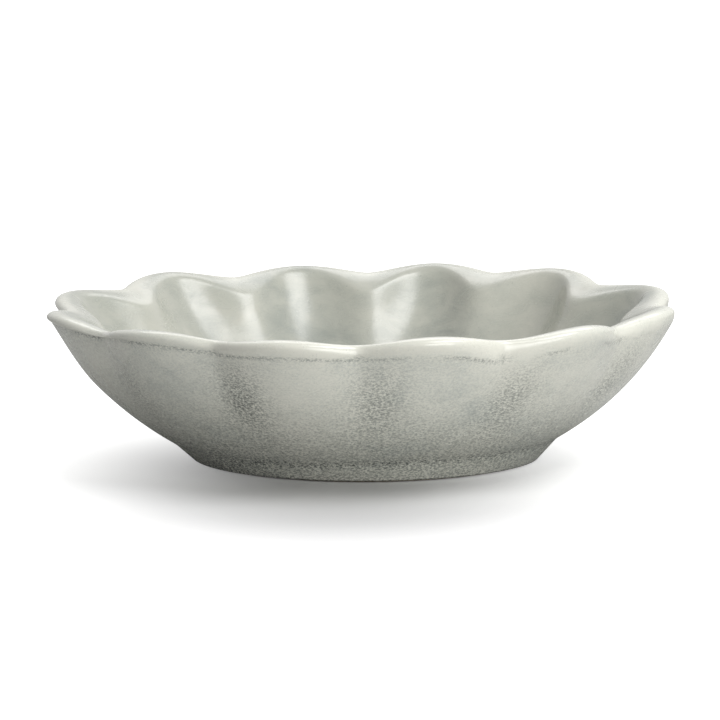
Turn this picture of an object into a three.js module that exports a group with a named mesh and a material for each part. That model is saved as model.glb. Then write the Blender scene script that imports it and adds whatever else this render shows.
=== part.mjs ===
// A scalloped serving bowl of glazed earthenware, modelled the way it is made:
// a moulded clay body with a fluted wall, a rolled coil along its lip, a foot ring under its floor,
// and the glaze that is dipped over the clay and poured into the well under the foot.
// Lengths are in millimetres. +Z is up, the bowl stands on z = 0, and its front faces -Y.
import * as THREE from "three";

// Overall form, measured over the glaze on the crest of a lobe.
const RIM_DIAMETER = 240;
const BOWL_HEIGHT = 59.2;
const WALL_BELLY = 4.1; // how far the outer wall swells below a straight line from foot to lip
const WALL_THICKNESS = 8; // at the foot, across the clay and both glazes
const FLOOR_THICKNESS = 7.5; // from the well's glaze to the glaze inside the bowl
const FLOOR_COVE_RISE = 9; // height over which the floor curves up into the wall

// The rolled lip. Its angles are in degrees from the outward horizontal.
const LIP_REACH = 4.5; // from its top out to its widest line
const LIP_CROWN = 2.2; // how far its top stands above that line
const LIP_SKIRT = 6.2; // how far its outside would reach below that line
const LIP_ROLL = 6; // radius with which its top rolls over into the bowl
const LIP_CREASE_ANGLE = -50; // where it leaves the outer wall, in a shallow crease
const LIP_INSIDE_ANGLE = 150; // where it runs into the inner wall

// Foot ring.
const FOOT_BASE_DIAMETER = 130;
const FOOT_CREASE_DIAMETER = 146; // where the wall springs from the foot
const FOOT_HEIGHT = 8;
const FOOT_RING_WIDTH = 9;
const FOOT_EDGE_EASE = 0.6; // bevel on the edges that touch the table
const BARE_FOOT_HEIGHT = 0.5; // band above the table that is wiped clean of glaze

// Flutes: each notch draws the wall in and pulls the lip down, most on the inside, where it makes a ridge.
const LOBE_COUNT = 12;
const OUTER_NOTCH_DEPTH = 8;
const INNER_NOTCH_DEPTH = 13;
const OUTER_NOTCH_DROP = 1.6;
const INNER_NOTCH_DROP = 5.6;
const LIP_PINCH = 0.8; // how much lower the lip's band is in a notch than on a lobe
const OUTER_ROUNDNESS = 0.12; // 0 is a knife-sharp notch, and large values make an even wave
const INNER_ROUNDNESS = 0.2;
const DROP_ROUNDNESS = 0.38;
const OUTER_FLUTE_FADE = 1.7; // power by which the flutes die out towards the foot
const INNER_FLUTE_FADE = 0.4; // the same inside, where they run further down

// Marks of making by hand.
const LEAN = 1; // the right side of the rim stands this much above the middle, the left as much below
const LEAN_SOFTNESS = 0.35; // 0 is a sudden step between left and right, and large values an even slope
const FOOT_OFFSET = 1.5; // the foot sits this far to the right of the rim's centre
const SIDE_LOBE_DRIFT = 2.7; // degrees by which the notches crowd towards the front and the back
const LOBE_TURN = -0.6; // degrees by which all the notches are turned, to the right at the front
const CREASE_BLEND = 22; // height of wall under the lip's crease that goes up and down with the crease
// Places round the rim, in degrees from the front to the right, where the whole rim (rise) or only the crease
// under the lip (creaseRise) was pushed up by some millimetres, or the rim round by some degrees (turn).
const HAND_MARKS = [
  { at: -135, width: 14, rise: 1 },
  { at: -90, width: 60, creaseRise: 3.2 },
  { at: -60, width: 5, rise: -0.8 },
  { at: -52, width: 12, creaseRise: 1.2 },
  { at: -36, width: 9, rise: 1.4 },
  { at: 29, width: 8, creaseRise: -2.2 },
  { at: 36, width: 9, rise: -1 },
  { at: 60, width: 5, rise: -1 },
  { at: 122, width: 10, turn: 1.5 },
  { at: 142, width: 18, rise: 0.9 },
  { at: 180, width: 20, turn: -0.9 },
];

// Glaze, and the gap that is left between pieces that meet.
const GLAZE_THICKNESS = 0.5;
const JOINT_GAP = 0.3;

// Facets.
const FACETS_PER_LOBE = 6;
const WALL_STEPS = 8;
const LIP_STEPS = 7;
const COVE_STEPS = 3;
const SEAT_STEPS = 6;

const lipCentre = new THREE.Vector2(RIM_DIAMETER / 2 - LIP_REACH, BOWL_HEIGHT - LIP_CROWN);
const rollCentre = new THREE.Vector2(lipCentre.x, BOWL_HEIGHT - LIP_ROLL);
const crease = new THREE.Vector2(FOOT_CREASE_DIAMETER / 2, FOOT_HEIGHT);
const clayInset = GLAZE_THICKNESS + JOINT_GAP;

const { lerp, clamp, smoothstep, degToRad, radToDeg, euclideanModulo } = THREE.MathUtils;

// The point on the lip at an angle in degrees: an oval up to its widest line, a flatter one up to its top,
// and a round roll from there into the bowl.
function onLip(angle) {
  const spoke = new THREE.Vector2(Math.cos(degToRad(angle)), Math.sin(degToRad(angle)));
  if (angle > 90) {
    return spoke.multiplyScalar(LIP_ROLL).add(rollCentre);
  }
  return spoke.multiply(new THREE.Vector2(LIP_REACH, angle > 0 ? LIP_CROWN : LIP_SKIRT)).add(lipCentre);
}

// A wall line from low to high that swells outwards by the belly, as a quadratic curve.
function belliedLine(low, high) {
  const along = high.clone().sub(low).normalize();
  const outward = new THREE.Vector2(along.y, -along.x);
  const control = low.clone().lerp(high, 0.5).addScaledVector(outward, 2 * WALL_BELLY);
  return new THREE.QuadraticBezierCurve(low, control, high);
}

// How far along a rising quadratic curve a height lies, from 0 to 1.
function reachAtHeight(curve, height) {
  const bend = curve.v0.y - 2 * curve.v1.y + curve.v2.y;
  const rise = 2 * (curve.v1.y - curve.v0.y);
  const wanted = clamp(height, curve.v0.y, curve.v2.y) - curve.v0.y;
  return (2 * wanted) / (rise + Math.sqrt(rise * rise + 4 * bend * wanted));
}

// The point at a height on the straight line through two points.
function atHeight(a, b, height) {
  return a.clone().lerp(b, (height - a.y) / (b.y - a.y));
}

// The outer wall runs from the foot's crease to the crease under the lip. The inner wall lies a wall's
// thickness inside its lower end and runs up to the inside of the lip.
const outerWall = belliedLine(crease, onLip(LIP_CREASE_ANGLE));
const springing = outerWall.getTangent(0);
const inwards = new THREE.Vector2(-springing.y, springing.x);
const innerFoot = crease.clone().addScaledVector(inwards, WALL_THICKNESS);
const innerWall = belliedLine(innerFoot, onLip(LIP_INSIDE_ANGLE));

// The part of the inner wall above the cove, from the lip down.
const wellCeiling = FOOT_HEIGHT - clayInset;
const floorHeight = wellCeiling + FLOOR_THICKNESS;
const coveReach = reachAtHeight(innerWall, floorHeight + FLOOR_COVE_RISE);
const coveTop = innerWall.getPoint(coveReach);
const coveSlope = innerWall.getTangent(coveReach);
const coveCorner = coveTop.clone().addScaledVector(coveSlope, -FLOOR_COVE_RISE / coveSlope.y);
const floorEdge = new THREE.Vector2(coveCorner.x - coveCorner.distanceTo(coveTop), floorHeight);
const cove = new THREE.QuadraticBezierCurve(coveTop, coveCorner, floorEdge);

// The glazed outline in one half-plane: up the foot and the wall, over the lip, down the inside and
// across the floor to the axis. The clay is always on the left of the way it runs.
const steps = (count) => Array.from({ length: count }, (_, i) => (i + 1) / count);
const outline = [new THREE.Vector2(FOOT_BASE_DIAMETER / 2, 0), crease];
outline.push(...steps(WALL_STEPS).map((t) => outerWall.getPoint(t)));
const lipStart = outline.length - 1;
outline.push(...steps(LIP_STEPS).map((t) => onLip(lerp(LIP_CREASE_ANGLE, LIP_INSIDE_ANGLE, t))));
const lipEnd = outline.length - 1;
outline.push(...steps(WALL_STEPS).map((t) => innerWall.getPoint(lerp(1, coveReach, t))));
outline.push(...steps(COVE_STEPS).map((t) => cove.getPoint(t)));
outline.push(new THREE.Vector2(0, floorHeight));
const creaseAt = 1;

// The same path moved to its left by a distance, with its corners mitred.
function movedLeft(path, distance) {
  const left = path.slice(1).map((p, i) => {
    const along = p.clone().sub(path[i]).normalize();
    return new THREE.Vector2(-along.y, along.x);
  });
  return path.map((p, i) => {
    const before = left[Math.max(i - 1, 0)];
    const after = left[Math.min(i, left.length - 1)];
    const mitre = before.clone().add(after);
    return p.clone().addScaledVector(mitre, (2 * distance) / mitre.lengthSq());
  });
}

const glazeBack = movedLeft(outline, GLAZE_THICKNESS);
const clay = movedLeft(outline, clayInset);
const clayUnderside = clay[creaseAt].y;

// How high a height lies between a foot and the lip's widest line, from 0 to 1.
const riseFrom = (foot, height) => clamp((height - foot) / (lipCentre.y - foot), 0, 1);

// How strongly the outer and the inner flutes act at a place in the half-plane: not at all on the foot and
// the floor, and fully on the lip. Across the wall the outer ones give way to the inner ones. The lip's share
// grows from its crease to its top, and the crease's own share dies out on both sides of it.
function fluteShares(radius, height) {
  const outerRadius = outerWall.getPoint(reachAtHeight(outerWall, height)).x;
  const innerRadius = innerWall.getPoint(reachAtHeight(innerWall, height)).x;
  const inward = smoothstep(outerRadius - radius, 0, outerRadius - innerRadius);
  const lipFoot = outerWall.v2.y;
  const aboveCrease = (height - lipFoot) / (lipCentre.y - lipFoot);
  const belowCrease = (lipFoot - height) / CREASE_BLEND;
  return {
    outer: (1 - inward) * riseFrom(FOOT_HEIGHT, height) ** OUTER_FLUTE_FADE,
    inner: inward * riseFrom(floorHeight, height) ** INNER_FLUTE_FADE,
    lip: clamp((height - lipFoot) / (BOWL_HEIGHT - lipFoot), 0, 1),
    crease: (1 - inward) * (1 - clamp(aboveCrease, 0, 1)) * (1 - smoothstep(belowCrease, 0, 1)),
  };
}

// 1 in the bottom of a notch and 0 on the crest of a lobe. There is a notch at the front.
function notchShape(angle, roundness) {
  const wave = Math.hypot(Math.sin((LOBE_COUNT * angle) / 2), roundness) - roundness;
  return 1 - wave / (Math.hypot(1, roundness) - roundness);
}

// How much the hand marks lift the rim and its crease and turn them at an angle, in millimetres and radians.
function handMarks(angle) {
  const marks = { rise: 0, creaseRise: 0, turn: 0 };
  for (const { at, width, rise = 0, creaseRise = 0, turn = 0 } of HAND_MARKS) {
    const apart = euclideanModulo(radToDeg(angle) - at + 180, 360) - 180;
    const bell = Math.exp(-((apart / width) ** 2));
    marks.rise += rise * bell;
    marks.creaseRise += creaseRise * bell;
    marks.turn += degToRad(turn) * bell;
  }
  return marks;
}

// Moves one point of the plain round bowl to its place on the fluted, hand-finished one.
function flute(point) {
  const radius = Math.hypot(point.x, point.y);
  const angle = Math.atan2(point.x, -point.y);
  const share = fluteShares(radius, point.z);
  const outerPull = OUTER_NOTCH_DEPTH * notchShape(angle, OUTER_ROUNDNESS) * share.outer;
  const innerPull = INNER_NOTCH_DEPTH * notchShape(angle, INNER_ROUNDNESS) * share.inner;
  const drawn = radius - outerPull - innerPull;
  const sunk = OUTER_NOTCH_DROP * share.outer + INNER_NOTCH_DROP * share.inner + LIP_PINCH * share.lip;
  const marks = handMarks(angle);
  const turned = angle + degToRad(LOBE_TURN - SIDE_LOBE_DRIFT * Math.sin(2 * angle)) + marks.turn;
  const sideways = Math.sin(turned);
  const tip = (sideways * Math.hypot(1, LEAN_SOFTNESS)) / Math.hypot(sideways, LEAN_SOFTNESS);
  const lean = LEAN * tip * Math.min(drawn / crease.x, 1) * clamp(point.z / FOOT_HEIGHT, 0, 1);
  const lift = lean + marks.rise * (share.outer + share.inner) + marks.creaseRise * share.crease;
  point.set(
    drawn * Math.sin(turned) + FOOT_OFFSET * (1 - riseFrom(FOOT_HEIGHT, point.z)),
    -drawn * Math.cos(turned),
    point.z - sunk * notchShape(angle, DROP_ROUNDNESS) + lift,
  );
}

// A piece turned from its profile about the bowl's axis and then fluted.
function turnedPiece(name, profile, material) {
  const geometry = new THREE.LatheGeometry(profile, LOBE_COUNT * FACETS_PER_LOBE).rotateX(Math.PI / 2);
  const places = geometry.getAttribute("position");
  const point = new THREE.Vector3();
  for (let i = 0; i < places.count; i++) {
    flute(point.fromBufferAttribute(places, i));
    places.setXYZ(i, point.x, point.y, point.z);
  }
  geometry.computeVertexNormals();
  const mesh = new THREE.Mesh(geometry, material);
  mesh.name = name;
  return mesh;
}

const clayMaterial = (color) => new THREE.MeshStandardMaterial({ color, roughness: 0.85, metalness: 0 });
const glazeMaterial = (color) => new THREE.MeshStandardMaterial({ color, roughness: 0.15, metalness: 0 });

// The points between two ends of the slanted seat that the lip's coil is laid on.
function alongSeat(from, to) {
  return steps(SEAT_STEPS).slice(0, -1).map((t) => from.clone().lerp(to, t));
}

// Floor and fluted wall, with the seat along the top.
function mouldedBody() {
  const profile = [
    new THREE.Vector2(0, clayUnderside),
    ...clay.slice(creaseAt, lipStart + 1),
    ...alongSeat(clay[lipStart], clay[lipEnd]),
    ...clay.slice(lipEnd),
  ];
  return turnedPiece("moulded_body", profile, clayMaterial("#d8cbb6"));
}

// The coil that is laid on the seat and rolled into the lip.
function rimCoil() {
  const towards = (from, to) => from.clone().add(to.clone().sub(from).setLength(JOINT_GAP));
  const first = towards(clay[lipStart], clay[lipStart + 1]);
  const last = towards(clay[lipEnd], clay[lipEnd - 1]);
  const top = clay.slice(lipStart + 1, lipEnd);
  const profile = [first, ...top, last, ...alongSeat(last, first), first.clone()];
  return turnedPiece("rim_coil", profile, clayMaterial("#d8cbb6"));
}

// The ring that the bowl stands on, bare where it meets the table.
const footInnerRadius = FOOT_BASE_DIAMETER / 2 - FOOT_RING_WIDTH;

function footRing() {
  const side = (height) => atHeight(clay[0], clay[creaseAt], height);
  const top = clayUnderside - JOINT_GAP;
  const profile = [
    new THREE.Vector2(footInnerRadius, FOOT_EDGE_EASE),
    new THREE.Vector2(footInnerRadius + FOOT_EDGE_EASE, 0),
    new THREE.Vector2(side(0).x - FOOT_EDGE_EASE, 0),
    side(FOOT_EDGE_EASE),
    side(top),
    new THREE.Vector2(footInnerRadius, top),
    new THREE.Vector2(footInnerRadius, FOOT_EDGE_EASE),
  ];
  return turnedPiece("foot_ring", profile, clayMaterial("#cdbda4"));
}

// One unbroken coat, from the bare band at the foot up the outside, over the lip and across the floor.
function glazeCoat() {
  const wiped = (path) => [atHeight(path[0], path[creaseAt], BARE_FOOT_HEIGHT), ...path.slice(creaseAt)];
  const profile = [...wiped(glazeBack).reverse(), ...wiped(outline)];
  return turnedPiece("glaze_coat", profile, glazeMaterial("#a9aca3"));
}

// The glaze under the floor, inside the foot ring, down to the bare band.
function footWellGlaze() {
  const wall = footInnerRadius - clayInset;
  const ceiling = clayUnderside - clayInset;
  const face = [
    new THREE.Vector2(0, ceiling),
    new THREE.Vector2(wall, ceiling),
    new THREE.Vector2(wall, BARE_FOOT_HEIGHT),
  ];
  const profile = [...face, ...movedLeft(face, GLAZE_THICKNESS).reverse()];
  return turnedPiece("foot_well_glaze", profile, glazeMaterial("#b4b7ae"));
}

const bowl = new THREE.Group();
bowl.name = "serving_bowl";
bowl.add(mouldedBody(), rimCoil(), footRing(), glazeCoat(), footWellGlaze());

export default bowl;
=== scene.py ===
"""Dresses the scalloped serving bowl: its glaze, its bare foot, the clay inside it and the studio around it.

Sizes are in millimetres until a vertex is made, and in metres from there on. The bowl stands on z = 0,
its front faces -Y, and angles round it are counted from the front towards the right.
"""

import logging
import math
from dataclasses import dataclass, field
from enum import Enum

import bmesh
import bpy
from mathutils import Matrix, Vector, noise


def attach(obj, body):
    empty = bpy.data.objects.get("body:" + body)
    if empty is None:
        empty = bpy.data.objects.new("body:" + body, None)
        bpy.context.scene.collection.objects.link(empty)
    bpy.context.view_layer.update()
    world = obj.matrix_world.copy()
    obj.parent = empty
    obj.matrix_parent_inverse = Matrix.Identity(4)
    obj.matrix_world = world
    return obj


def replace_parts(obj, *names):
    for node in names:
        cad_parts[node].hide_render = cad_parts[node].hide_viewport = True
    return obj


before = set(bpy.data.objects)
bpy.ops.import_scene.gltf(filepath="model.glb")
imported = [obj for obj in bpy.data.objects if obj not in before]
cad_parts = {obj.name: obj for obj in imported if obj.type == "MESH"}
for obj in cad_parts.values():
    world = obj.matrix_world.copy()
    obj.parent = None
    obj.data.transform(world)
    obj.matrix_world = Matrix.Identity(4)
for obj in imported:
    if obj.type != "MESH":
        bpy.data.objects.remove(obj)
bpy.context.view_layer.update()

MM = 0.001
BODY = "root"
log = logging.getLogger("serving_bowl")


class Slot(Enum):
    """The record's material slots."""

    EARTHENWARE = "earthenware"
    BARE_FOOT = "bare_foot"
    GLAZE = "glaze"
    WELL_GLAZE = "well_glaze"


class Trace(Enum):
    """What a glazed vertex carries for the glaze to read."""

    RUN = "glaze_run"
    # Glaze pooling and painted shade, in one mask.
    POOL_AND_SHADE = "glaze_pool_and_shade"
    # Thin glaze, held back on the lip's sides as painted shade.
    THIN = "glaze_thin_and_side_shade"
    INSIDE = "glaze_inside"


def clamp(value: float) -> float:
    """The value held between 0 and 1."""
    return min(max(value, 0.0), 1.0)


def mix(low: float, high: float, share: float) -> float:
    """The value a share of the way from low to high."""
    return low + (high - low) * share


def ease(low: float, high: float, value: float) -> float:
    """A smooth step from 0 at low to 1 at high."""
    share = clamp((value - low) / (high - low))
    return share * share * (3.0 - 2.0 * share)


def bump_at(value: float, width: float) -> float:
    """A bell of height 1 over value 0 that falls to a third at the width."""
    return math.exp(-((value / width) ** 2))


def linear(colour: str) -> tuple[float, float, float, float]:
    """Turns an sRGB hex colour into linear red, green, blue and alpha.

    Args:
        colour: Six hex digits after a hash.

    Returns:
        The linear colour, opaque.
    """
    shares = [int(colour[i : i + 2], 16) / 255.0 for i in (1, 3, 5)]
    bent = [s / 12.92 if s <= 0.04045 else ((s + 0.055) / 1.055) ** 2.4 for s in shares]
    return (bent[0], bent[1], bent[2], 1.0)


def per_size(millimetres: float) -> float:
    """The texture scale at which one cell of a pattern has that size on the object."""
    return 1.0 / (millimetres * MM)


def add_node(
    tree: bpy.types.NodeTree,
    kind: str,
    settings: dict[str, object] | None = None,
    inputs: dict[str | int, object] | None = None,
) -> bpy.types.Node:
    """Adds a node with its settings, and links or sets its inputs.

    Args:
        tree: The node tree to add to.
        kind: Blender's name for the kind of node.
        settings: Properties of the node.
        inputs: Socket name or number to a socket to link from, or to a value.

    Returns:
        The new node.
    """
    node = tree.nodes.new(kind)
    for name, value in (settings or {}).items():
        setattr(node, name, value)
    for key, value in (inputs or {}).items():
        if isinstance(value, bpy.types.NodeSocket):
            tree.links.new(value, node.inputs[key])
        else:
            node.inputs[key].default_value = value
    return node


# The sockets of a Mix node that blends colours.
MIX_A, MIX_B, MIX_RESULT = 6, 7, 2


@dataclass(frozen=True)
class Swell:
    """A quadratic curve in the half-plane of radius and height."""

    start: Vector
    control: Vector
    end: Vector

    def point(self, share: float) -> Vector:
        """The point a share of the way along."""
        return self.start.lerp(self.control, share).lerp(self.control.lerp(self.end, share), share)

    def slope(self, share: float) -> Vector:
        """The unit direction a share of the way along."""
        return (self.control.lerp(self.end, share) - self.start.lerp(self.control, share)).normalized()

    def reach_at_height(self, height: float) -> float:
        """How far along the rising curve a height lies, from 0 to 1."""
        bend = self.start.y - 2.0 * self.control.y + self.end.y
        rise = 2.0 * (self.control.y - self.start.y)
        wanted = min(max(height, self.start.y), self.end.y) - self.start.y
        return 2.0 * wanted / (rise + math.sqrt(rise * rise + 4.0 * bend * wanted))


@dataclass(frozen=True)
class Landmarks:
    """How far along the glazed outline its features lie, in millimetres from the table."""

    foot_crease: float
    lip_crease: float
    lip_top: float
    lip_inside: float
    floor_edge: float


@dataclass(frozen=True)
class FluteShares:
    """How strongly the flutes act at one place of the outline, each from 0 to 1."""

    outer: float
    inner: float
    lip: float
    crease: float
    above: float


NO_FLUTES = FluteShares(0.0, 0.0, 0.0, 0.0, 0.0)


@dataclass(frozen=True)
class HandMark:
    """A place of the rim, in degrees from the front to the right, that was pushed up or round by hand.

    The rise lifts the whole rim there, and the crease's rise only the crease under the lip.
    """

    at: float
    width: float
    rise: float = 0.0
    crease_rise: float = 0.0
    turn: float = 0.0

    def strength(self, angle: float) -> float:
        """How strongly the mark shows at an angle in radians, from 0 to 1."""
        apart = (math.degrees(angle) - self.at + 180.0) % 360.0 - 180.0
        return bump_at(apart, self.width)


@dataclass(frozen=True)
class BowlForm:
    """The bowl's driving sizes, its outline, and the field that flutes it."""

    rim_diameter: float = 240.0
    height: float = 59.2
    wall_belly: float = 4.1
    wall_thickness: float = 8.0
    floor_thickness: float = 7.5
    cove_rise: float = 9.0
    lip_reach: float = 4.5
    lip_crown: float = 2.2
    lip_skirt: float = 6.2
    lip_roll: float = 6.0
    lip_crease_angle: float = -50.0
    lip_inside_angle: float = 150.0
    foot_base_diameter: float = 130.0
    foot_crease_diameter: float = 146.0
    foot_height: float = 8.0
    foot_ring_width: float = 9.0
    bare_foot_height: float = 0.5
    lobe_count: int = 12
    outer_notch_depth: float = 8.0
    inner_notch_depth: float = 13.0
    outer_notch_drop: float = 1.6
    inner_notch_drop: float = 5.6
    lip_pinch: float = 0.8
    outer_roundness: float = 0.12
    inner_roundness: float = 0.7
    drop_roundness: float = 0.38
    outer_fade: float = 1.7
    inner_fade: float = 0.4
    lean: float = 1.0
    lean_softness: float = 0.35
    foot_offset: float = 1.5
    side_lobe_drift: float = 2.7
    lobe_turn: float = -0.6
    crease_blend: float = 22.0
    hand_marks: tuple[HandMark, ...] = (
        HandMark(at=-135.0, width=14.0, rise=1.0),
        HandMark(at=-90.0, width=60.0, crease_rise=3.2),
        HandMark(at=-60.0, width=5.0, rise=-0.8),
        HandMark(at=-52.0, width=12.0, crease_rise=1.2),
        HandMark(at=-36.0, width=9.0, rise=1.4),
        HandMark(at=29.0, width=8.0, crease_rise=-2.2),
        HandMark(at=36.0, width=9.0, rise=-1.0),
        HandMark(at=60.0, width=5.0, rise=-1.0),
        HandMark(at=122.0, width=10.0, turn=1.5),
        HandMark(at=142.0, width=18.0, rise=0.9),
        HandMark(at=180.0, width=20.0, turn=-0.9),
    )
    clay_inset: float = 0.8

    @property
    def lip_centre(self) -> Vector:
        """The middle of the rolled lip, level with its widest line."""
        return Vector((self.rim_diameter / 2.0 - self.lip_reach, self.height - self.lip_crown))

    @property
    def crease(self) -> Vector:
        """Where the wall springs from the foot."""
        return Vector((self.foot_crease_diameter / 2.0, self.foot_height))

    @property
    def foot_inner_radius(self) -> float:
        """The clay foot ring's inner radius."""
        return self.foot_base_diameter / 2.0 - self.foot_ring_width

    @property
    def floor_height(self) -> float:
        """The glazed floor inside the bowl."""
        return self.foot_height - self.clay_inset + self.floor_thickness

    def on_lip(self, angle: float) -> Vector:
        """The point of the lip at an angle in degrees from the outward horizontal.

        Args:
            angle: Below 0 on the lip's outside, 90 on its top and more on its roll into the bowl.

        Returns:
            The point in the half-plane.
        """
        turn = math.radians(angle)
        spoke = Vector((math.cos(turn), math.sin(turn)))
        if angle > 90.0:
            return Vector((self.lip_centre.x, self.height - self.lip_roll)) + self.lip_roll * spoke
        half_height = self.lip_crown if angle > 0.0 else self.lip_skirt
        return self.lip_centre + Vector((self.lip_reach * spoke.x, half_height * spoke.y))

    def bellied(self, low: Vector, high: Vector) -> Swell:
        """A wall line from low to high that swells outwards by the belly."""
        along = (high - low).normalized()
        outward = Vector((along.y, -along.x))
        return Swell(low, low.lerp(high, 0.5) + 2.0 * self.wall_belly * outward, high)

    @property
    def outer_wall(self) -> Swell:
        """The outside of the wall, from the foot's crease to the crease under the lip."""
        return self.bellied(self.crease, self.on_lip(self.lip_crease_angle))

    @property
    def inner_wall(self) -> Swell:
        """The inside of the wall, a wall's thickness from the foot's crease, up to the lip."""
        springing = self.outer_wall.slope(0.0)
        low = self.crease + self.wall_thickness * Vector((-springing.y, springing.x))
        return self.bellied(low, self.on_lip(self.lip_inside_angle))

    def outline(self, fine: float, coarse: float) -> tuple[list[Vector], list[float], Landmarks]:
        """The glazed outline from the table up the outside, over the lip and down to the axis.

        Args:
            fine: Spacing of points on the foot and the lip.
            coarse: Spacing of points on the walls.

        Returns:
            The points, the length of outline up to each, and where its features lie along it.
        """
        inner = self.inner_wall
        cove_reach = inner.reach_at_height(self.floor_height + self.cove_rise)
        cove_top = inner.point(cove_reach)
        fall = inner.slope(cove_reach)
        corner = cove_top - fall * (self.cove_rise / fall.y)
        floor_edge = Vector((corner.x - (corner - cove_top).length, self.floor_height))
        cove = Swell(cove_top, corner, floor_edge)
        outer = self.outer_wall
        base = Vector((self.foot_base_diameter / 2.0, 0.0))
        axis = Vector((0.0, self.floor_height))
        stretches = [
            (lambda t: base.lerp(self.crease, t), fine),
            (outer.point, coarse),
            (lambda t: self.on_lip(mix(self.lip_crease_angle, 90.0, t)), fine),
            (lambda t: self.on_lip(mix(90.0, self.lip_inside_angle, t)), fine),
            (lambda t: inner.point(mix(1.0, cove_reach, t)), coarse),
            (cove.point, coarse),
            (lambda t: floor_edge.lerp(axis, t), 2.0 * coarse),
        ]
        points = [base]
        runs = [0.0]
        ends = []
        for curve, spacing in stretches:
            count = max(2, round((curve(1.0) - curve(0.0)).length / spacing))
            for i in range(count):
                points.append(curve((i + 1) / count))
                runs.append(runs[-1] + (points[-1] - points[-2]).length)
            ends.append(runs[-1])
        marks = Landmarks(ends[0], ends[1], ends[2], ends[3], ends[5])
        return points, runs, marks

    def notch(self, angle: float, round_off: float) -> float:
        """1 in the bottom of a notch and 0 on the crest of a lobe, sharper the less is rounded off."""
        wave = math.hypot(math.sin(self.lobe_count * angle / 2.0), round_off) - round_off
        return 1.0 - wave / (math.hypot(1.0, round_off) - round_off)

    def flutes(self, radius: float, height: float) -> FluteShares:
        """How strongly the flutes act: not at all on the foot and the floor, fully on the lip."""
        outer_radius = self.outer_wall.point(self.outer_wall.reach_at_height(height)).x
        inner_radius = self.inner_wall.point(self.inner_wall.reach_at_height(height)).x
        inward = ease(outer_radius, inner_radius, radius)
        top = self.lip_centre.y
        outside = clamp((height - self.foot_height) / (top - self.foot_height))
        inside = clamp((height - self.floor_height) / (top - self.floor_height))
        lip_foot = self.outer_wall.end.y
        if height > lip_foot:
            by_crease = clamp((top - height) / (top - lip_foot))
        else:
            by_crease = ease(lip_foot - self.crease_blend, lip_foot, height)
        return FluteShares(
            (1.0 - inward) * outside**self.outer_fade,
            inward * inside**self.inner_fade,
            clamp((height - lip_foot) / (self.height - lip_foot)),
            (1.0 - inward) * by_crease,
            outside,
        )

    def place(self, radius: float, height: float, angle: float, flutes: FluteShares) -> Vector:
        """Moves a point of the plain round bowl to its place on the fluted, hand-finished one.

        Args:
            radius: Distance from the axis.
            height: Height above the table.
            angle: Angle from the front, in radians.
            flutes: How strongly the flutes act there.

        Returns:
            The place in millimetres.
        """
        outer = self.outer_notch_depth * self.notch(angle, self.outer_roundness) * flutes.outer
        inner = self.inner_notch_depth * self.notch(angle, self.inner_roundness) * flutes.inner
        drawn = radius - outer - inner
        above_cove = ease(self.floor_height, self.floor_height + self.cove_rise, height)
        sunk = self.outer_notch_drop * flutes.outer + self.lip_pinch * flutes.lip
        sunk += self.inner_notch_drop * flutes.inner * above_cove
        marks = [(mark, mark.strength(angle)) for mark in self.hand_marks]
        twist = self.lobe_turn + sum(mark.turn * strength for mark, strength in marks)
        rise = sum(mark.rise * strength for mark, strength in marks)
        crease_rise = sum(mark.crease_rise * strength for mark, strength in marks)
        turned = angle + math.radians(twist - self.side_lobe_drift * math.sin(2.0 * angle))
        sideways = math.sin(turned)
        tip = sideways * math.hypot(1.0, self.lean_softness) / math.hypot(sideways, self.lean_softness)
        lift = self.lean * tip * clamp(drawn / self.crease.x) * clamp(height / self.foot_height)
        lift += rise * (flutes.outer + flutes.inner) + crease_rise * flutes.crease
        return Vector(
            (
                drawn * math.sin(turned) + self.foot_offset * (1.0 - flutes.above),
                -drawn * math.cos(turned),
                height - sunk * self.notch(angle, self.drop_roundness) + lift,
            )
        )


FORM = BowlForm()


def moved_left(path: list[Vector], distance: float) -> list[Vector]:
    """The same path moved to its left by a distance, with its corners mitred.

    Args:
        path: Points in the half-plane.
        distance: How far to move it.

    Returns:
        One moved point for each point.
    """
    left = []
    for a, b in zip(path, path[1:]):
        along = (b - a).normalized()
        left.append(Vector((-along.y, along.x)))
    moved = []
    for i, point in enumerate(path):
        mitre = left[max(i - 1, 0)] + left[min(i, len(left) - 1)]
        moved.append(point + mitre * (2.0 * distance / mitre.length_squared))
    return moved


def relaxed(path: list[Vector], passes: int) -> list[Vector]:
    """The path with its corners softened, as glaze softens them, and its ends kept.

    Args:
        path: Points in the half-plane.
        passes: How often each point moves halfway to the middle of its neighbours.

    Returns:
        The softened points.
    """
    soft = [p.copy() for p in path]
    for _ in range(passes):
        middle = [0.5 * p + 0.25 * (a + b) for a, p, b in zip(soft, soft[1:], soft[2:])]
        soft = [soft[0], *middle, soft[-1]]
    return soft


def spin_profile(points: list[Vector], runs: list[float], closed: bool, steps: int) -> bmesh.types.BMesh:
    """Spins a profile round the bowl's axis into a plain round mesh.

    Args:
        points: The profile in the half-plane, in millimetres.
        runs: A number for each point, which its copies keep.
        closed: Whether the profile closes on itself.
        steps: How many facets go round.

    Returns:
        The mesh in metres, merged and facing out, with the layers of Trace on its vertices.
    """
    mesh = bmesh.new()
    for trace in Trace:
        mesh.verts.layers.float.new(trace.value)
    run_layer = mesh.verts.layers.float[Trace.RUN.value]
    verts = []
    for point, run in zip(points, runs):
        vert = mesh.verts.new((0.0, -point.x * MM, point.y * MM))
        vert[run_layer] = run
        verts.append(vert)
    followers = verts[1:] + (verts[:1] if closed else [])
    edges = [mesh.edges.new(pair) for pair in zip(verts, followers)]
    bmesh.ops.spin(
        mesh,
        geom=verts + edges,
        cent=(0.0, 0.0, 0.0),
        axis=(0.0, 0.0, 1.0),
        angle=2.0 * math.pi,
        steps=steps,
        use_merge=True,
    )
    bmesh.ops.remove_doubles(mesh, verts=mesh.verts, dist=0.001 * MM)
    bmesh.ops.recalc_face_normals(mesh, faces=mesh.faces)
    return mesh


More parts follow.
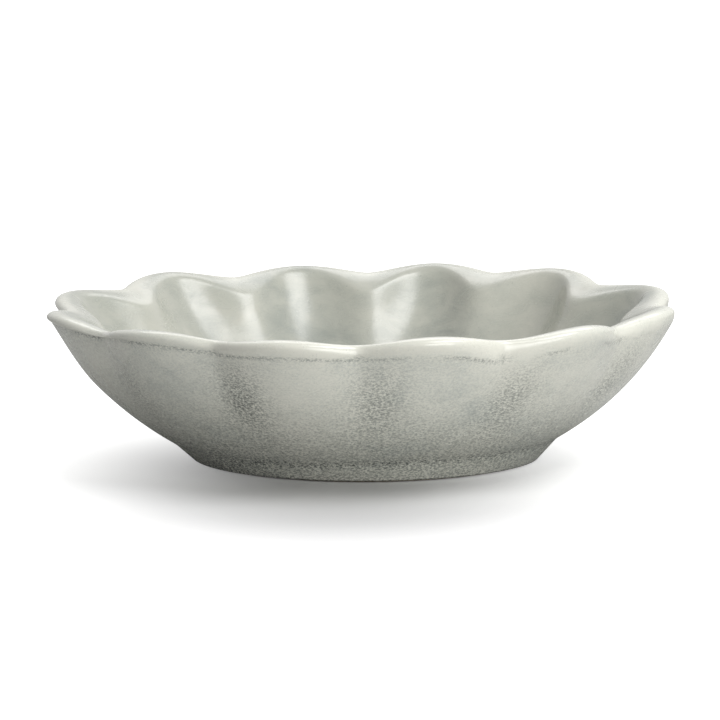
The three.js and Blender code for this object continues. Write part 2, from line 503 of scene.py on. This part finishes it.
def settle(mesh: bmesh.types.BMesh, name: str, material: bpy.types.Material) -> bpy.types.Object:
    """Makes an object of a finished mesh, dressed and riding on the bowl.

    Args:
        mesh: The mesh, which is used up.
        name: The piece's name.
        material: Its finish.

    Returns:
        The object, at the origin.
    """
    for face in mesh.faces:
        face.smooth = True
    data = bpy.data.meshes.new(name)
    mesh.to_mesh(data)
    mesh.free()
    data.materials.append(material)
    piece = bpy.data.objects.new(name, data)
    bpy.context.scene.collection.objects.link(piece)
    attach(piece, BODY)
    log.info("%s: %d faces", name, len(data.polygons))
    return piece


@dataclass(frozen=True)
class SageGlaze:
    """A grey-green tin glaze, brushed and dipped over pale clay and fired glossy.

    The eye sees a smooth glass skin over a cloudy colour: pale where the glaze ran thin over edges,
    greyer where it lay thick, streaked sideways by the brush, and dark and grainy where it pools.
    The pale edge is held back on the sides of the lip, and the dark colour is also painted on as shade:
    low on the outside, left of the foot, under the lip and on the flutes' flanks away from the light.
    The outside tones are painted paler and the inside tones darker than the one glaze is:
    painted light outside and painted shade inside.
    """

    name: str
    # One glaze in two tone sets: the outside's painted paler as painted light, the inside's darker as painted
    # shade.
    outside: tuple[str, str, str] = ("#f7f6ea", "#ecede1", "#c8cdc6")
    inside: tuple[str, str, str] = ("#d2d1c5", "#bdbfb4", "#979d96")
    thin: str = "#efeee1"
    pool_and_shade_colour: str = "#4d5451"
    cloud_size: float = 46.0
    blotch_size: float = 14.0
    grain_size: float = 1.0
    speck_size: float = 0.9
    ripple_size: float = 7.0
    brush_stretch: float = 1.7
    blotch_share: float = 0.42
    grain_outside: float = 0.4
    grain_inside: float = 0.12
    thin_cover: float = 0.75
    broken_range: tuple[float, float] = (0.42, 0.58)
    speck_range: tuple[float, float] = (0.64, 0.76)
    speck_strength: float = 0.25
    tone_range: tuple[float, float] = (0.34, 0.66)
    roughness: tuple[float, float] = (0.2, 0.32)
    ripple_strength: float = 0.12
    ripple_depth: float = 0.4
    ior: float = 1.7

    def material(self) -> bpy.types.Material:
        """Builds the glaze's material."""
        made = bpy.data.materials.new(self.name)
        made.use_nodes = True
        tree = made.node_tree
        tree.nodes.clear()
        place = add_node(tree, "ShaderNodeTexCoord").outputs["Object"]
        stretch = (1.0, 1.0, self.brush_stretch)
        brushed = add_node(tree, "ShaderNodeMapping", None, {"Vector": place, "Scale": stretch}).outputs[0]
        trace = {}
        for each in (Trace.POOL_AND_SHADE, Trace.THIN, Trace.INSIDE):
            trace[each] = add_node(tree, "ShaderNodeAttribute", {"attribute_name": each.value}).outputs["Fac"]
        cloud = add_node(
            tree,
            "ShaderNodeTexNoise",
            None,
            {"Vector": place, "Scale": per_size(self.cloud_size), "Detail": 3.0, "Roughness": 0.55},
        ).outputs["Fac"]
        blotch = add_node(
            tree,
            "ShaderNodeTexNoise",
            None,
            {
                "Vector": brushed,
                "Scale": per_size(self.blotch_size),
                "Detail": 5.0,
                "Roughness": 0.62,
                "Distortion": 0.6,
            },
        ).outputs["Fac"]
        grain = add_node(
            tree,
            "ShaderNodeTexNoise",
            None,
            {"Vector": brushed, "Scale": per_size(self.grain_size), "Detail": 4.0, "Roughness": 0.75},
        ).outputs["Fac"]
        speck = add_node(
            tree,
            "ShaderNodeTexNoise",
            None,
            {"Vector": place, "Scale": per_size(self.speck_size), "Detail": 2.0, "Roughness": 0.8},
        ).outputs["Fac"]
        both = add_node(tree, "ShaderNodeMix", None, {0: self.blotch_share, 2: cloud, 3: blotch}).outputs[0]
        rough = add_node(tree, "ShaderNodeMix", None, {0: self.grain_outside, 2: both, 3: grain}).outputs[0]
        smooth = add_node(tree, "ShaderNodeMix", None, {0: self.grain_inside, 2: both, 3: grain}).outputs[0]
        # Outside tones painted paler as painted light, inside tones darker as painted shade.
        outer = self.ramp(tree, rough, self.outside)
        inner = self.ramp(tree, smooth, self.inside)
        body = add_node(
            tree,
            "ShaderNodeMix",
            {"data_type": "RGBA"},
            {0: trace[Trace.INSIDE], MIX_A: outer, MIX_B: inner},
        ).outputs[MIX_RESULT]
        thin_and_side_shade = add_node(
            tree,
            "ShaderNodeMath",
            {"operation": "MULTIPLY"},
            {0: trace[Trace.THIN], 1: self.thin_cover},
        ).outputs[0]
        pale = add_node(
            tree,
            "ShaderNodeMix",
            {"data_type": "RGBA"},
            {0: thin_and_side_shade, MIX_A: body, MIX_B: linear(self.thin)},
        ).outputs[MIX_RESULT]
        broken = add_node(
            tree,
            "ShaderNodeMapRange",
            None,
            {"Value": grain, "From Min": self.broken_range[0], "From Max": self.broken_range[1]},
        ).outputs[0]
        # Pooling glaze and painted shade, broken up by the grain.
        broken_pool_and_shade = add_node(
            tree,
            "ShaderNodeMath",
            {"operation": "MULTIPLY", "use_clamp": True},
            {0: trace[Trace.POOL_AND_SHADE], 1: broken},
        ).outputs[0]
        specks = add_node(
            tree,
            "ShaderNodeMapRange",
            None,
            {
                "Value": speck,
                "From Min": self.speck_range[0],
                "From Max": self.speck_range[1],
                "To Max": self.speck_strength,
            },
        ).outputs[0]
        dark = add_node(
            tree,
            "ShaderNodeMath",
            {"operation": "MAXIMUM"},
            {0: broken_pool_and_shade, 1: specks},
        ).outputs[0]
        # One dark colour stands for both pooling glaze and painted shade.
        colour = add_node(
            tree,
            "ShaderNodeMix",
            {"data_type": "RGBA"},
            {0: dark, MIX_A: pale, MIX_B: linear(self.pool_and_shade_colour)},
        ).outputs[MIX_RESULT]
        roughness = add_node(
            tree,
            "ShaderNodeMapRange",
            None,
            {
                "Value": blotch,
                "From Min": 0.3,
                "From Max": 0.7,
                "To Min": self.roughness[0],
                "To Max": self.roughness[1],
            },
        ).outputs[0]
        ripple = add_node(
            tree,
            "ShaderNodeTexNoise",
            None,
            {"Vector": place, "Scale": per_size(self.ripple_size), "Detail": 2.0},
        ).outputs["Fac"]
        normal = add_node(
            tree,
            "ShaderNodeBump",
            None,
            {"Height": ripple, "Strength": self.ripple_strength, "Distance": self.ripple_depth * MM},
        ).outputs[0]
        shader = add_node(
            tree,
            "ShaderNodeBsdfPrincipled",
            None,
            {"Base Color": colour, "Roughness": roughness, "IOR": self.ior, "Normal": normal},
        )
        add_node(tree, "ShaderNodeOutputMaterial", None, {"Surface": shader.outputs[0]})
        return made

    def ramp(
        self, tree: bpy.types.NodeTree, value: bpy.types.NodeSocket, tones: tuple[str, str, str]
    ) -> bpy.types.NodeSocket:
        """Spreads three tones over the usual range of a noise.

        Args:
            tree: The node tree to add to.
            value: The noise.
            tones: Colours from thin to thick glaze.

        Returns:
            The colour socket.
        """
        node = add_node(tree, "ShaderNodeValToRGB", None, {"Fac": value})
        stops = node.color_ramp.elements
        stops[0].position, stops[0].color = self.tone_range[0], linear(tones[0])
        stops[1].position, stops[1].color = self.tone_range[1], linear(tones[2])
        stops.new(sum(self.tone_range) / 2.0).color = linear(tones[1])
        return node.outputs["Color"]


@dataclass(frozen=True)
class Earthenware:
    """Pale earthenware, bisque fired: a dry, chalky surface with fine sand and a few darker grains."""

    name: str
    clay: str = "#d8cbb6"
    sand: str = "#b59f80"
    patch_size: float = 18.0
    sand_size: float = 0.8
    roughness: float = 0.85

    def material(self) -> bpy.types.Material:
        """Builds the clay's material."""
        made = bpy.data.materials.new(self.name)
        made.use_nodes = True
        tree = made.node_tree
        tree.nodes.clear()
        place = add_node(tree, "ShaderNodeTexCoord").outputs["Object"]
        patch = add_node(
            tree,
            "ShaderNodeTexNoise",
            None,
            {"Vector": place, "Scale": per_size(self.patch_size), "Detail": 4.0},
        ).outputs["Fac"]
        sand = add_node(
            tree,
            "ShaderNodeTexNoise",
            None,
            {"Vector": place, "Scale": per_size(self.sand_size), "Detail": 3.0, "Roughness": 0.7},
        ).outputs["Fac"]
        share = add_node(tree, "ShaderNodeMix", None, {0: 0.5, 2: patch, 3: sand}).outputs[0]
        spread = add_node(
            tree,
            "ShaderNodeMapRange",
            None,
            {"Value": share, "From Min": 0.38, "From Max": 0.66},
        ).outputs[0]
        colour = add_node(
            tree,
            "ShaderNodeMix",
            {"data_type": "RGBA"},
            {0: spread, MIX_A: linear(self.clay), MIX_B: linear(self.sand)},
        ).outputs[MIX_RESULT]
        normal = add_node(
            tree,
            "ShaderNodeBump",
            None,
            {"Height": sand, "Strength": 0.35, "Distance": 0.15 * MM},
        ).outputs[0]
        shader = add_node(
            tree,
            "ShaderNodeBsdfPrincipled",
            None,
            {"Base Color": colour, "Roughness": self.roughness, "Normal": normal},
        )
        add_node(tree, "ShaderNodeOutputMaterial", None, {"Surface": shader.outputs[0]})
        return made


@dataclass(frozen=True)
class GlazedPlace:
    """One place of the glaze: its angle in radians, its height and how far along the outline it lies."""

    angle: float
    height: float
    run: float
    marks: Landmarks
    flutes: FluteShares

    @property
    def under_lip(self) -> float:
        """How far along the outline the place lies from the crease under the lip, below 0 on the wall."""
        return self.run - self.marks.lip_crease

    def near(self, degrees: float, spread: float) -> float:
        """How near the place lies to an angle in degrees from the front to the right, from 0 to 1."""
        return bump_at(math.degrees(self.angle) - degrees, spread)


@dataclass(frozen=True)
class GlazeRunsAndPaintedShade:
    """Where the glaze pools and runs thin, and where shade is painted on: sizes in millimetres, angles in
    degrees, strengths up to 1.
    """

    side_at: float = 75.0
    side_spread: float = 40.0
    line_width: float = 0.55
    line_strength: tuple[float, float] = (0.6, 1.0)
    line_patch: float = 16.0
    line_patchiness: float = 1.3
    # Painted shade on the wall under the lip.
    under_lip_shade_width: float = 4.0
    under_lip_shade_strength: tuple[float, float] = (0.12, 0.3)
    foot_line_width: float = 2.6
    foot_line_strength: float = 0.35
    shaded_flank_shift: float = 4.0
    valley_roundness: float = 0.6
    valley_height: float = 36.0
    valley_spread: float = 13.0
    valley_strength: tuple[float, float] = (0.5, 0.86)
    darkest_at: float = -28.0
    darkest_spread: float = 22.0
    # Painted shade, darker towards the bottom of the outside.
    low_shade_strength: tuple[float, float] = (0.64, 0.06)
    low_shade_heights: tuple[float, float] = (6.0, 44.0)
    # Painted shadow on the low wall left of the foot.
    left_foot_shadow_at: float = -65.0
    left_foot_shadow_spread: float = 32.0
    left_foot_shadow_strength: float = 0.5
    left_foot_shadow_heights: tuple[float, float] = (4.0, 22.0)
    notch_spot: float = 0.6
    notch_spot_at: float = 0.8
    notch_spot_width: float = 1.8
    lip_strength: float = 0.9
    # How much of the lip's pale edge stays on its left and right sides: painted shade.
    lip_left: float = 0.4
    lip_right: float = 0.2
    ridge_strength: float = 0.35

    def inside(self, at: GlazedPlace) -> float:
        """How much of the inside's tones shows at a place: all of it from just past the lip's top."""
        return ease(at.marks.lip_top - 2.0, at.marks.lip_top + 2.0, at.run)

    def pool(self, form: BowlForm, at: GlazedPlace, spot: Vector) -> float:
        """How dark the glaze is drawn: pooling glaze in the crease under the lip, at the foot, in the flutes
        and in the rim's notches, with painted shade under the lip, low on the outside, left of the foot and
        on the flutes' shaded flanks.

        Args:
            form: The bowl.
            at: The place on the plain outline.
            spot: The same place on the fluted bowl.

        Returns:
            The strength from 0 to 1.
        """
        under = at.under_lip
        to_left = at.near(-self.side_at, self.side_spread)
        # The dark line in the crease under the lip: glaze lying in the crease, drawn stronger on the left as
        # painted shade.
        patchy = clamp(self.line_strength[0] + self.line_patchiness * noise.noise(spot / self.line_patch))
        line = patchy * mix(*self.line_strength, to_left) * bump_at(under, self.line_width)
        # Painted shade on the wall just under the lip's overhang, darker on the left.
        under_lip_shade = mix(*self.under_lip_shade_strength, to_left) * bump_at(under, self.under_lip_shade_width) * (under < 0.0)
        # The darker band at the foot's crease: glaze lying in the crease, and painted shade under the belly.
        foot = self.foot_line_strength * bump_at(at.run - at.marks.foot_crease, self.foot_line_width)
        # Dark bands on the outer flutes: glaze lying in the flutes, moved off the notches onto the flanks
        # that face away from the light as painted shade, darkest at the front left.
        valley = form.notch(at.angle - math.radians(self.shaded_flank_shift), self.valley_roundness) ** 2
        band = mix(*self.valley_strength, at.near(self.darkest_at, self.darkest_spread)) * valley
        band *= bump_at(at.height - self.valley_height, self.valley_spread) * mix(1.0, 0.5, to_left)
        # Painted shade: the outside drawn darker towards the bottom.
        low = mix(*self.low_shade_strength, ease(*self.low_shade_heights, at.height))
        # Painted shadow on the low wall left of the foot.
        left_foot_shadow = self.left_foot_shadow_strength * at.near(self.left_foot_shadow_at, self.left_foot_shadow_spread)
        low += left_foot_shadow * (1.0 - ease(*self.left_foot_shadow_heights, at.height))
        body = (low + band) * (1.0 - self.inside(at)) * (1.0 - ease(-4.0, 1.0, under))
        notch = self.notch_spot * form.notch(at.angle, 0.05) ** 8
        notch *= bump_at(under - self.notch_spot_at, self.notch_spot_width)
        return clamp(max(line, under_lip_shade, foot + body, notch))

    def thin(self, form: BowlForm, at: GlazedPlace) -> float:
        """How thin the glaze ran: over the outside of the lip and the ridges inside, with the lip's pale edge
        held back on its sides as painted shade.

        Args:
            form: The bowl.
            at: The place on the plain outline.

        Returns:
            The strength from 0 to 1.
        """
        to_left = at.near(-self.side_at, self.side_spread)
        to_right = at.near(self.side_at, self.side_spread)
        top = at.marks.lip_top
        lip = ease(0.3, 3.0, at.under_lip) * (1.0 - ease(top - 2.5, top + 1.5, at.run))
        # Thin glaze on the lip, weaker on the left and right sides as painted shade.
        thin_and_side_shade = self.lip_strength * mix(1.0, self.lip_left, to_left) * mix(1.0, self.lip_right, to_right) * lip
        ridge = form.notch(at.angle, form.inner_roundness) ** 2 * at.flutes.inner * self.inside(at)
        return clamp(max(thin_and_side_shade, self.ridge_strength * ridge))


@dataclass
class GlazeCoat:
    """The unbroken coat of glaze over the outside, the lip and the inside."""

    form: BowlForm
    finish: SageGlaze
    facets_per_lobe: int = 30
    fine: float = 0.7
    coarse: float = 1.6
    softening: int = 3
    thickness: float = 0.6
    back_every: int = 4
    wobble: float = 0.22
    wobble_size: float = 48.0
    wobble_seed: int = 7
    runs: GlazeRunsAndPaintedShade = field(default_factory=lambda: GlazeRunsAndPaintedShade())

    def build(self) -> bpy.types.Object:
        """Builds, flutes and dresses the coat."""
        points, runs, marks = self.form.outline(self.fine, self.coarse)
        points = relaxed(points, self.softening)
        start = next(i for i, p in enumerate(points) if p.y >= self.form.bare_foot_height)
        points, runs = points[start:], runs[start:]
        back = moved_left(points, self.thickness)
        kept = sorted({*range(0, len(back), self.back_every), len(back) - 1}, reverse=True)
        profile = [back[i] for i in kept] + points
        labels = [-1.0 for _ in kept] + runs
        mesh = spin_profile(profile, labels, False, self.form.lobe_count * self.facets_per_lobe)
        noise.seed_set(self.wobble_seed)
        self.flute(mesh, marks)
        piece = settle(mesh, "glaze_skin", self.finish.material())
        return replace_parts(piece, "glaze_coat")

    def flute(self, mesh: bmesh.types.BMesh, marks: Landmarks) -> None:
        """Moves every vertex to its fluted place and writes what the glaze reads there.

        Args:
            mesh: The plain round coat.
            marks: Where the outline's features lie.
        """
        layers = {trace: mesh.verts.layers.float[trace.value] for trace in Trace}
        for vert in mesh.verts:
            radius = math.hypot(vert.co.x, vert.co.y) / MM
            angle = math.atan2(vert.co.x, -vert.co.y)
            height = vert.co.z / MM
            run = vert[layers[Trace.RUN]]
            flutes = self.form.flutes(radius, height)
            spot = self.form.place(radius, height, angle, flutes)
            spot += self.wobble * noise.noise_vector(spot / self.wobble_size)
            vert.co = spot * MM
            at = GlazedPlace(angle, height, run, marks, flutes)
            # The dark mask holds pooling glaze and painted shade.
            vert[layers[Trace.POOL_AND_SHADE]] = self.runs.pool(self.form, at, spot)
            vert[layers[Trace.THIN]] = self.runs.thin(self.form, at)
            vert[layers[Trace.INSIDE]] = self.runs.inside(at)


@dataclass
class FootRing:
    """The bare clay ring that the bowl stands on, its edges rubbed round with a sponge."""

    form: BowlForm
    finish: Earthenware
    facets_per_lobe: int = 16
    edge_radius: float = 1.0
    top_clearance: float = 0.4
    inset: float = 0.75

    def build(self) -> bpy.types.Object:
        """Builds and dresses the ring."""
        base = Vector((self.form.foot_base_diameter / 2.0, 0.0))
        side = moved_left([base, self.form.crease], self.inset)
        run = (side[1] - side[0]) / (side[1].y - side[0].y)
        top = self.form.foot_height - self.top_clearance
        inner = self.form.foot_inner_radius
        outer_low = side[0] - run * side[0].y
        outer_high = side[0] + run * (top - side[0].y)
        corners = [
            Vector((inner, top)),
            Vector((inner, 0.0)),
            outer_low,
            outer_high,
        ]
        profile = self.rounded(corners)
        steps = self.form.lobe_count * self.facets_per_lobe
        mesh = spin_profile(profile, [0.0 for _ in profile], True, steps)
        for vert in mesh.verts:
            radius = math.hypot(vert.co.x, vert.co.y) / MM
            angle = math.atan2(vert.co.x, -vert.co.y)
            vert.co = self.form.place(radius, vert.co.z / MM, angle, NO_FLUTES) * MM
        piece = settle(mesh, "bare_foot_ring", self.finish.material())
        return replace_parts(piece, "foot_ring")

    def rounded(self, corners: list[Vector]) -> list[Vector]:
        """The ring's section with arcs on the two corners that meet the table.

        Args:
            corners: Inner top, inner bottom, outer bottom and outer top.

        Returns:
            The section's points, counter-clockwise from the inner top.
        """
        section = [corners[0]]
        for before, corner, after in zip(corners, corners[1:], corners[2:]):
            into = corner + (before - corner).normalized() * self.edge_radius
            out = corner + (after - corner).normalized() * self.edge_radius
            arc = Swell(into, corner, out)
            section.extend(arc.point(i / 5.0) for i in range(6))
        section.append(corners[3])
        return section


@dataclass
class FootWell:
    """The glaze poured into the well inside the foot ring."""

    form: BowlForm
    finish: SageGlaze
    facets_per_lobe: int = 16
    gap: float = 0.3
    thickness: float = 0.5
    corner_radius: float = 2.5
    spacing: float = 3.0

    def build(self) -> bpy.types.Object:
        """Builds and dresses the well's glaze."""
        wall = self.form.foot_inner_radius - self.gap - self.thickness
        ceiling = self.form.foot_height - self.gap - self.thickness
        rim = self.form.bare_foot_height + 0.4
        corner = Vector((wall, ceiling))
        bend = Swell(
            corner - Vector((self.corner_radius, 0.0)),
            corner,
            corner - Vector((0.0, self.corner_radius)),
        )
        count = round(wall / self.spacing)
        face = [Vector((bend.start.x * i / count, ceiling)) for i in range(count)]
        face += [bend.point(i / 6.0) for i in range(7)]
        face.append(Vector((wall, rim)))
        back = moved_left(face, self.thickness)
        profile = face + back[::-1]
        steps = self.form.lobe_count * self.facets_per_lobe
        mesh = spin_profile(profile, [0.0 for _ in profile], False, steps)
        for vert in mesh.verts:
            radius = math.hypot(vert.co.x, vert.co.y) / MM
            angle = math.atan2(vert.co.x, -vert.co.y)
            vert.co = self.form.place(radius, vert.co.z / MM, angle, NO_FLUTES) * MM
        piece = settle(mesh, "well_glaze_skin", self.finish.material())
        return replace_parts(piece, "foot_well_glaze")


@dataclass
class ClayCore:
    """The moulded body and the lip's coil, which stay as they are under the glaze."""

    finish: Earthenware
    nodes: tuple[str, str] = ("moulded_body", "rim_coil")

    def dress(self) -> None:
        """Gives the clay its finish."""
        clay = self.finish.material()
        for name in self.nodes:
            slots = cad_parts[name].material_slots
            for slot in slots:
                slot.material = clay
            log.info("%s: dressed", name)


@dataclass(frozen=True)
class Softbox:
    """A rectangular lamp: its place and sides in metres and its power in watts."""

    name: str
    place: tuple[float, float, float]
    width: float
    depth: float
    power: float


@dataclass
class Studio:
    """A white floor under soft boxes, and a camera with a long lens at the photograph's height."""

    floor_radius: float = 6.0
    floor_white: str = "#cdcdcb"
    camera_distance: float = 1.92
    camera_elevation: float = 7.72
    aim: Vector = field(default_factory=lambda: Vector((-0.45, 0.0, 36.2)) * MM)
    pixels_per_mm: float = 2.659
    frame_pixels: float = 720.0
    sensor_width: float = 36.0
    fill: float = 0.32
    exposure_on_paper: float = 0.7
    shadow_middle: Vector = field(default_factory=lambda: Vector((-8.0, -85.0, 0.0)) * MM)
    shadow_half_width: float = 88.0
    shadow_half_depth: float = 130.0
    shadow_core: float = 0.15
    shadow_end: float = 1.72
    softboxes: tuple[Softbox, ...] = (
        Softbox("softbox_top", (0.46, -0.25, 0.92), width=0.7, depth=0.5, power=5.5),
        Softbox("softbox_front", (0.85, -1.45, 0.42), width=1.2, depth=0.7, power=10.5),
        Softbox("softbox_back", (0.1, 0.9, 1.0), width=1.2, depth=0.6, power=4.0),
    )

    def build(self) -> None:
        """Builds the floor, the lights and the camera."""
        self.add_floor()
        self.add_world()
        for box in self.softboxes:
            self.add_softbox(box)
        self.add_camera()

    def add_floor(self) -> None:
        """A white disc that takes the bowl's shadow and turns pure white away from it."""
        mesh = bmesh.new()
        bmesh.ops.create_circle(mesh, cap_ends=True, segments=96, radius=self.floor_radius)
        data = bpy.data.meshes.new("studio_floor")
        mesh.to_mesh(data)
        mesh.free()
        floor = bpy.data.objects.new("studio_floor", data)
        bpy.context.scene.collection.objects.link(floor)
        paper = bpy.data.materials.new("matte_white_paper")
        paper.use_nodes = True
        tree = paper.node_tree
        tree.nodes.clear()
        place = add_node(tree, "ShaderNodeTexCoord").outputs["Object"]
        oval = (per_size(self.shadow_half_width), per_size(self.shadow_half_depth), 1.0)
        middle = Vector([-a * b for a, b in zip(self.shadow_middle, oval)])
        around = add_node(
            tree,
            "ShaderNodeMapping",
            None,
            {"Vector": place, "Location": middle, "Scale": oval},
        ).outputs[0]
        away = add_node(tree, "ShaderNodeVectorMath", {"operation": "LENGTH"}, {0: around}).outputs["Value"]
        far = add_node(
            tree,
            "ShaderNodeMapRange",
            {"interpolation_type": "SMOOTHSTEP"},
            {"Value": away, "From Min": self.shadow_core, "From Max": self.shadow_end},
        ).outputs[0]
        path = add_node(tree, "ShaderNodeLightPath").outputs
        seen = add_node(
            tree,
            "ShaderNodeMath",
            {"operation": "MULTIPLY"},
            {0: path["Is Camera Ray"], 1: far},
        ).outputs[0]
        shown = add_node(
            tree,
            "ShaderNodeMapRange",
            None,
            {
                "Value": path["Is Camera Ray"],
                "To Min": linear(self.floor_white)[0],
                "To Max": self.exposure_on_paper,
            },
        ).outputs[0]
        matte = add_node(tree, "ShaderNodeBsdfDiffuse", None, {"Color": shown})
        white = add_node(tree, "ShaderNodeEmission", None, {"Strength": seen})
        both = add_node(
            tree,
            "ShaderNodeAddShader",
            None,
            {0: matte.outputs[0], 1: white.outputs[0]},
        )
        add_node(tree, "ShaderNodeOutputMaterial", None, {"Surface": both.outputs[0]})
        data.materials.append(paper)

    def add_world(self) -> None:
        """A soft grey fill that the camera and the gloss see as white."""
        world = bpy.data.worlds.new("studio_fill")
        bpy.context.scene.world = world
        world.use_nodes = True
        tree = world.node_tree
        tree.nodes.clear()
        path = add_node(tree, "ShaderNodeLightPath").outputs
        shown = add_node(
            tree,
            "ShaderNodeMath",
            {"operation": "MAXIMUM"},
            {0: path["Is Camera Ray"], 1: path["Is Glossy Ray"]},
        ).outputs[0]
        seen = add_node(
            tree,
            "ShaderNodeMath",
            {"operation": "MAXIMUM"},
            {0: shown, 1: path["Is Transmission Ray"]},
        ).outputs[0]
        level = add_node(
            tree,
            "ShaderNodeMapRange",
            None,
            {"Value": seen, "To Min": self.fill, "To Max": 1.0},
        ).outputs[0]
        light = add_node(tree, "ShaderNodeBackground", None, {"Strength": level})
        add_node(tree, "ShaderNodeOutputWorld", None, {"Surface": light.outputs[0]})

    def add_softbox(self, box: Softbox) -> None:
        """Adds one rectangular lamp aimed at the bowl."""
        lamp = bpy.data.lights.new(box.name, "AREA")
        lamp.shape = "RECTANGLE"
        lamp.size = box.width
        lamp.size_y = box.depth
        lamp.energy = box.power
        place = Vector(box.place)
        holder = bpy.data.objects.new(box.name, lamp)
        holder.location = place
        holder.rotation_euler = (self.aim - place).to_track_quat("-Z", "Y").to_euler()
        bpy.context.scene.collection.objects.link(holder)

    def add_camera(self) -> None:
        """Adds the camera, with a lens that gives the photograph's scale at the bowl."""
        lens = bpy.data.cameras.new("photo_camera")
        lens.sensor_width = self.sensor_width
        focal_pixels = self.pixels_per_mm * self.camera_distance / MM
        lens.lens = self.sensor_width * focal_pixels / self.frame_pixels
        camera = bpy.data.objects.new("photo_camera", lens)
        rise = math.radians(self.camera_elevation)
        back = Vector((0.0, -math.cos(rise), math.sin(rise)))
        camera.location = self.aim + self.camera_distance * back
        camera.rotation_euler = (-back).to_track_quat("-Z", "Y").to_euler()
        bpy.context.scene.collection.objects.link(camera)
        bpy.context.scene.camera = camera


def main() -> None:
    """Builds the pieces in order, dresses the clay and lights the bowl."""
    logging.basicConfig(level=logging.INFO, format="%(name)s %(message)s")
    scene = bpy.context.scene
    scene.view_settings.view_transform = "Standard"
    Studio().build()
    ClayCore(Earthenware("bisque_earthenware")).dress()
    FootRing(FORM, Earthenware("rubbed_earthenware", clay="#cdbda4", sand="#a8916f")).build()
    FootWell(FORM, SageGlaze("sage_glaze_poured")).build()
    GlazeCoat(FORM, SageGlaze("sage_glaze_brushed")).build()


if __name__ == "__main__":
    main()
